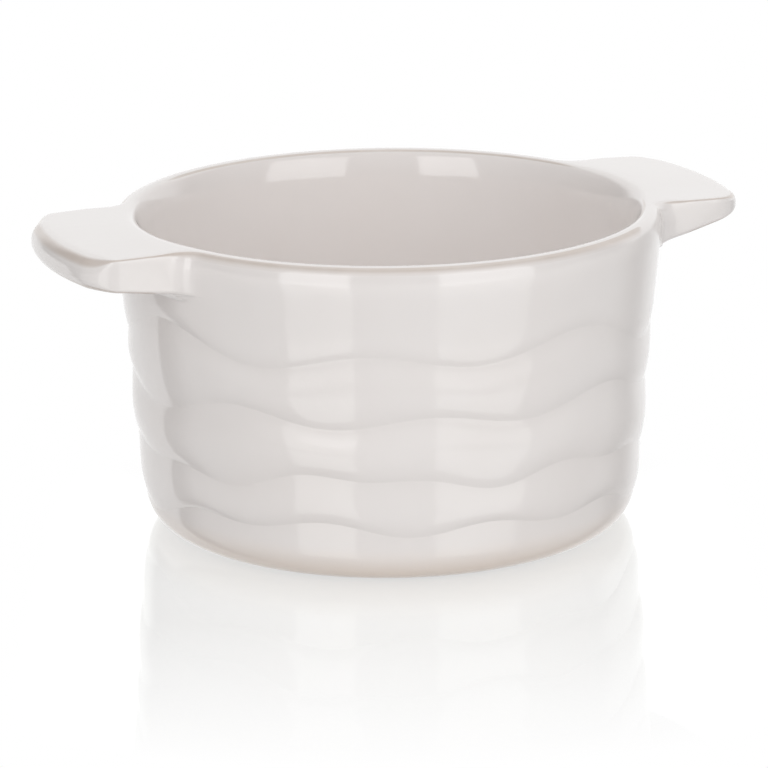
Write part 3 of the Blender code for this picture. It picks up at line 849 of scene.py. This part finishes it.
class Wire:
    """A socket in a shader's node tree. Sums on wires add Math nodes, and add() adds any other node."""

    def __init__(self, tree, socket=None):
        self.tree = tree
        self.socket = socket

    def add(self, kind, settings=None, inputs=None, output=0):
        """Add a node: its settings first, then a value or a wire for each socket."""
        node = self.tree.nodes.new(kind)
        for name, value in (settings or {}).items():
            setattr(node, name, value)
        for key, value in (inputs or {}).items():
            if isinstance(value, Wire):
                self.tree.links.new(value.socket, node.inputs[key])
            else:
                node.inputs[key].default_value = value
        return Wire(self.tree, node.outputs[output] if node.outputs else None)

    def sum(self, operation, first, second):
        """Add a Math node."""
        return self.add("ShaderNodeMath", {"operation": operation}, {0: first, 1: second})

    def __add__(self, other):
        return self.sum("ADD", self, other)

    def __radd__(self, other):
        return self.sum("ADD", other, self)

    def __sub__(self, other):
        return self.sum("SUBTRACT", self, other)

    def __rsub__(self, other):
        return self.sum("SUBTRACT", other, self)

    def __mul__(self, other):
        return self.sum("MULTIPLY", self, other)

    def __rmul__(self, other):
        return self.sum("MULTIPLY", other, self)

    def __lt__(self, other):
        return self.sum("LESS_THAN", self, other)

    def __gt__(self, other):
        return self.sum("GREATER_THAN", self, other)

    def ramp(self, low, high):
        """Rise smoothly from 0 at low to 1 at high."""
        settings = {"interpolation_type": "SMOOTHSTEP"}
        return self.add("ShaderNodeMapRange", settings, {0: self, 1: low, 2: high, 3: 0.0, 4: 1.0})

    def blend(self, part, first, second):
        """Mix two colours."""
        return self.add("ShaderNodeMix", {"data_type": "RGBA"}, {0: part, 6: first, 7: second}, 2)

    def noise(self, place, scale, detail):
        """A soft cloudy value from 0 to 1."""
        return self.add("ShaderNodeTexNoise", None, {"Vector": place, "Scale": scale, "Detail": detail})

    def vector(self, operation, *vectors):
        """A vector worked out from vectors."""
        return self.add("ShaderNodeVectorMath", {"operation": operation}, dict(enumerate(vectors)), "Vector")

    def measure(self, operation, *vectors):
        """A number worked out from vectors."""
        return self.add("ShaderNodeVectorMath", {"operation": operation}, dict(enumerate(vectors)), "Value")

    def ray(self, kind):
        """1 for rays of one kind."""
        return self.add("ShaderNodeLightPath", output="Is " + kind + " Ray")

    def layer(self, part, first, second):
        """Mix two surfaces."""
        return self.add("ShaderNodeMixShader", None, {0: part, 1: first, 2: second})


def blank_tree(owner):
    """An empty node tree for a material or a world."""
    owner.use_nodes = True
    owner.node_tree.nodes.clear()
    return Wire(owner.node_tree)


def opaque(rgb):
    """A colour with full cover."""
    return (*rgb, 1.0)


def glazed_ceramic(name, looks):
    """White glaze with faint clouds, painted shade in the grooves, warm edges of a thinner coat, a few specks
    and a bare foot ring; the edges' line and the foot's tint carry some painted shade as well.
    """
    material = bpy.data.materials.new(name)
    start = blank_tree(material)
    place = start.add("ShaderNodeTexCoord", output="Object")
    pool = start.add("ShaderNodeAttribute", {"attribute_name": "pool"}, output="Fac")
    edge = start.add("ShaderNodeAttribute", {"attribute_name": "edge"}, output="Fac")
    height = start.add("ShaderNodeSeparateXYZ", None, {0: place}, "Z")
    clouds = start.noise(place, *CLOUDS)
    drift = start.noise(place, *DRIFT)
    cells = {"Vector": place, "Scale": SPECK_SCALE}
    near = start.add("ShaderNodeTexVoronoi", None, cells, "Distance")
    lot = start.add("ShaderNodeTexVoronoi", None, cells, "Color")
    specks = (near < SPECK_SIZE) * (start.add("ShaderNodeSeparateColor", None, {0: lot}) > SPECK_RARITY)
    # The edges' warm line: a thinner coat over the clay, and partly painted shade
    line = edge.ramp(*LINE_RAMP) * (LINE_TINT + drift * LINE_DRIFT)
    # The foot's tint, partly painted shade where the wall turns down into the foot
    foot = 1.0 - (height + drift * FOOT_DRIFT).ramp(*FOOT_RAMP)
    bare = 1.0 - (height + drift * BARE_DRIFT).ramp(*BARE_RAMP)

    shade = start.blend(clouds.ramp(*CLOUD_RAMP), opaque(looks.glaze), opaque(looks.clouded))
    # Painted shade in the grooves and under the handles' roots
    shade = start.blend(pool * PAINTED_SHADE_TINT, shade, opaque(looks.pooled))
    shade = start.blend(line, shade, opaque(looks.thin_glaze_and_shade))
    shade = start.blend(foot * (FOOT_TINT + drift * FOOT_TINT_DRIFT), shade, opaque(looks.foot))
    shade = start.blend(specks * SPECK_COVER, shade, opaque(looks.speck))
    shade = start.blend(bare, shade, opaque(looks.bare))
    rough = looks.gloss + clouds * CLOUD_ROUGHNESS + edge * EDGE_ROUGHNESS + bare * looks.bare_roughness
    ripple = clouds * CLOUD_RIPPLE + drift * DRIFT_RIPPLE
    grain = start.noise(place, *GRAIN) * (GLAZE_GRAIN + bare * BARE_GRAIN)
    unevenness = {"Strength": BUMP_STRENGTH, "Distance": BUMP_DEPTH, "Height": ripple + grain}
    bump = start.add("ShaderNodeBump", None, unevenness)
    inputs = {"Base Color": shade, "Roughness": rough, "IOR": GLAZE_IOR, "Normal": bump}
    surface = start.add("ShaderNodeBsdfPrincipled", None, inputs)
    start.add("ShaderNodeOutputMaterial", None, {"Surface": surface})
    return material


def dress(piece, material, node):
    """Give a piece its glaze and tie it to the solid that it stands for."""
    piece.data.materials.append(material)
    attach(piece, BODY)
    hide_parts(node)


class DISH_OT_body(Operator):
    """Build the turned body with its wavy relief"""

    bl_idname = "baking_dish.body"
    bl_label = "Dish body"

    def execute(self, context):
        form = DishForm(context.scene.dish_sizes)
        material = glazed_ceramic("body_glaze", context.scene.glaze_looks)
        dress(form.body_piece(), material, "dish_body")
        return {"FINISHED"}


class DISH_OT_handles(Operator):
    """Build the two lug handles"""

    bl_idname = "baking_dish.handles"
    bl_label = "Handles"

    def execute(self, context):
        form = DishForm(context.scene.dish_sizes)
        material = glazed_ceramic("handle_glaze", context.scene.glaze_looks)
        for handle, side in enumerate(("right", "left")):
            piece = form.handle_piece("glazed_" + side + "_handle", handle)
            dress(piece, material, side + "_handle")
        return {"FINISHED"}


def seen_rays(start):
    """1 for rays that show a surface: straight from the camera, off gloss or through glass."""
    rays = start.ray("Camera") + start.ray("Glossy") + start.ray("Transmission")
    return start.sum("MINIMUM", rays, 1.0)


def floor_material(stage, foot_radius, forward):
    """White floor with the dish's mirror image in front of its foot and a faint shadow.

    The glaze sees it as a table in front of the dish, with a sheen of the softboxes and a fold, and sees the
    room through it elsewhere.
    """
    material = bpy.data.materials.new("white_floor")
    start = blank_tree(material)
    seen = seen_rays(start)
    glossy = start.ray("Glossy")
    place = start.add("ShaderNodeTexCoord", output="Object")
    away = start.measure("LENGTH", place)
    in_front = 0.0 - start.measure("DOT_PRODUCT", place, forward)
    across = start.measure("LENGTH", start.vector("CROSS_PRODUCT", place, forward))
    table_end = [part * stage.table_depth for part in TABLE_END]
    open_side = 1.0 - in_front.ramp(*TABLE_START) + in_front.ramp(*table_end)
    fold = away.ramp(*FOLD_START) - away.ramp(*FOLD_END)
    sheen = in_front.ramp(*SHEEN_START) * (1.0 - fold * FOLD_SHEEN) * stage.sheen
    lit = start.sum("DIVIDE", (1.0 - fold * FOLD_SHADE) * stage.table, 1.0 - sheen)
    near = 1.0 - (away - foot_radius) * (1.0 / stage.mirror_reach)
    near = start.sum("MAXIMUM", start.sum("MINIMUM", near, MIRROR_LIMIT), 0.0)
    facing = in_front.ramp(*MIRROR_START) * (1.0 - across.ramp(*MIRROR_SIDE))
    mirror = mix(near * stage.mirror * facing, sheen, glossy)
    shadow = 1.0 - away.ramp(foot_radius, foot_radius + SHADOW_REACH)

    paper = start.add("ShaderNodeBsdfDiffuse", None, {"Color": PAPER})
    white = start.add("ShaderNodeEmission", None, {"Color": mix(1.0, lit, glossy), "Strength": 1.0})
    gloss = start.add("ShaderNodeBsdfGlossy", None, {"Color": FLOOR_GLOSS, "Roughness": FLOOR_ROUGHNESS})
    plain = start.layer(seen * (1.0 - shadow * SHADOW_SHARE), paper, white)
    table = start.layer(seen * mirror, plain, gloss)
    surface = start.layer(glossy * open_side, table, start.add("ShaderNodeBsdfTransparent"))
    start.add("ShaderNodeOutputMaterial", None, {"Surface": surface})
    return material


def add_floor(stage, foot_radius, forward):
    """Round floor under the dish."""
    mesh = bpy.data.meshes.new("floor")
    turns = [2.0 * pi * number / FLOOR_SIDES for number in range(FLOOR_SIDES)]
    rim = [(stage.floor_radius * cos(turn), stage.floor_radius * sin(turn), 0.0) for turn in turns]
    mesh.from_pydata(rim, [], [tuple(range(FLOOR_SIDES))])
    mesh.materials.append(floor_material(stage, foot_radius, forward))
    floor = bpy.data.objects.new("floor", mesh)
    bpy.context.scene.collection.objects.link(floor)


def add_room(stage, behind, right):
    """White for the camera, and an even fill for soft light, stronger from above.

    The glaze sees a bright backdrop behind the dish with its sweep under the horizon, wider to the right, and
    elsewhere a dim room over the table's brightness, which a dark flag hides behind the dish.
    """
    world = bpy.data.worlds.new("studio")
    bpy.context.scene.world = world
    start = blank_tree(world)
    way = start.add("ShaderNodeTexCoord", output="Generated")
    height = start.add("ShaderNodeSeparateXYZ", None, {0: way}, "Z")
    level = start.vector("NORMALIZE", start.vector("MULTIPLY", way, LEVEL))
    ahead = start.measure("DOT_PRODUCT", level, behind)
    aside = start.measure("DOT_PRODUCT", level, right).ramp(*RIGHT_EDGE)
    below = 1.0 - height.ramp(*HORIZON)
    flag = ahead.ramp(*FLAG_EDGE) * (FLAG_COVER - aside * FLAG_RIGHT)
    around = mix(stage.room, stage.table, below * (1.0 - flag))
    back = mix(ahead.ramp(*BACKDROP_EDGE), ahead.ramp(*SWEEP_EDGE), below)
    right_back = mix(ahead.ramp(*RIGHT_BACKDROP_EDGE), ahead.ramp(*RIGHT_SWEEP_EDGE), below)
    bright = mix(stage.backdrop, stage.sweep, below)
    mirrored = mix(around, bright, mix(back, right_back, aside))
    shown = mix(mirrored, 1.0, start.ray("Camera"))
    soft = mix(stage.fill, stage.top_fill, height.ramp(0.0, 1.0))
    strength = mix(soft, shown, seen_rays(start))
    light = start.add("ShaderNodeBackground", None, {"Color": WHITE, "Strength": strength})
    start.add("ShaderNodeOutputWorld", None, {"Surface": light})


def add_softbox(stage, name, azimuth, width, radiance):
    """A tall softbox that faces the dish and reaches down past the floor."""
    lamp = bpy.data.lights.new(name, "AREA")
    lamp.shape = "RECTANGLE"
    lamp.size = width
    lamp.size_y = stage.box_height
    lamp.energy = radiance * pi * width * stage.box_height
    box = bpy.data.objects.new(name, lamp)
    turn = stage.azimuth + azimuth
    middle = stage.box_bottom + stage.box_height / 2
    box.location = (stage.box_distance * sin(turn), -stage.box_distance * cos(turn), middle)
    aim = Vector((0.0, 0.0, middle)) - box.location
    box.rotation_euler = aim.to_track_quat("-Z", "Y").to_euler()
    box.visible_camera = False
    bpy.context.scene.collection.objects.link(box)


def add_camera(stage, target):
    """Camera at the photograph's place. Returns the level direction in which it looks."""
    data = bpy.data.cameras.new("camera")
    data.sensor_width = SENSOR_WIDTH
    data.lens = stage.lens
    data.shift_x = stage.shift_across
    data.shift_y = stage.shift_up
    data.clip_start = NEAR_CLIP
    camera = bpy.data.objects.new("camera", data)
    rise = stage.elevation
    back = Vector((sin(stage.azimuth) * cos(rise), -cos(stage.azimuth) * cos(rise), sin(rise)))
    right = Vector((cos(stage.azimuth), sin(stage.azimuth), 0.0))
    axes = Matrix((right, back.cross(right), back)).transposed().to_4x4()
    place = axes @ Matrix.Rotation(stage.roll, 4, "Z")
    place.translation = target + back * stage.distance
    camera.matrix_world = place
    bpy.context.scene.collection.objects.link(camera)
    bpy.context.scene.camera = camera
    return (-sin(stage.azimuth), cos(stage.azimuth), 0.0)


class DISH_OT_stage(Operator):
    """Set up the floor, the softboxes, the white backdrop and the camera"""

    bl_idname = "baking_dish.stage"
    bl_label = "Stage"

    def execute(self, context):
        stage = context.scene.dish_stage
        forward = add_camera(stage, Vector((0.0, 0.0, stage.target_height)))
        add_floor(stage, DishForm(context.scene.dish_sizes).foot_contact, forward)
        turn = stage.azimuth + stage.backdrop_turn
        add_room(stage, (-sin(turn), cos(turn), 0.0), (cos(turn), sin(turn), 0.0))
        left = (-stage.left_box_azimuth, stage.left_box_width, stage.left_box_radiance)
        right = (stage.right_box_azimuth, stage.right_box_width, stage.right_box_radiance)
        add_softbox(stage, "left_softbox", *left)
        add_softbox(stage, "right_softbox", *right)
        context.scene.view_settings.view_transform = "Standard"
        return {"FINISHED"}


class DISH_PT_sidebar(Panel):
    """Lists the dish's pieces and the stage"""

    bl_idname = "DISH_PT_sidebar"
    bl_label = "Baking dish"
    bl_space_type = "VIEW_3D"
    bl_region_type = "UI"
    bl_category = "Baking dish"

    def draw(self, context):
        for operator in (DISH_OT_body, DISH_OT_handles, DISH_OT_stage):
            self.layout.operator(operator.bl_idname)
        for group in (context.scene.dish_sizes, context.scene.glaze_looks, context.scene.dish_stage):
            column = self.layout.column(align=True)
            for name in group.__annotations__:
                column.prop(group, name)


CLASSES = (
    DishSizes,
    GlazeLooks,
    StageSettings,
    DISH_OT_body,
    DISH_OT_handles,
    DISH_OT_stage,
    DISH_PT_sidebar,
)


def register():
    for kind in CLASSES:
        bpy.utils.register_class(kind)
    bpy.types.Scene.dish_sizes = PointerProperty(type=DishSizes)
    bpy.types.Scene.glaze_looks = PointerProperty(type=GlazeLooks)
    bpy.types.Scene.dish_stage = PointerProperty(type=StageSettings)


def unregister():
    del bpy.types.Scene.dish_stage
    del bpy.types.Scene.glaze_looks
    del bpy.types.Scene.dish_sizes
    for kind in reversed(CLASSES):
        bpy.utils.unregister_class(kind)


def main():
    register()
    bpy.ops.baking_dish.body()
    bpy.ops.baking_dish.handles()
    bpy.ops.baking_dish.stage()


if __name__ == "__main__":
    main()
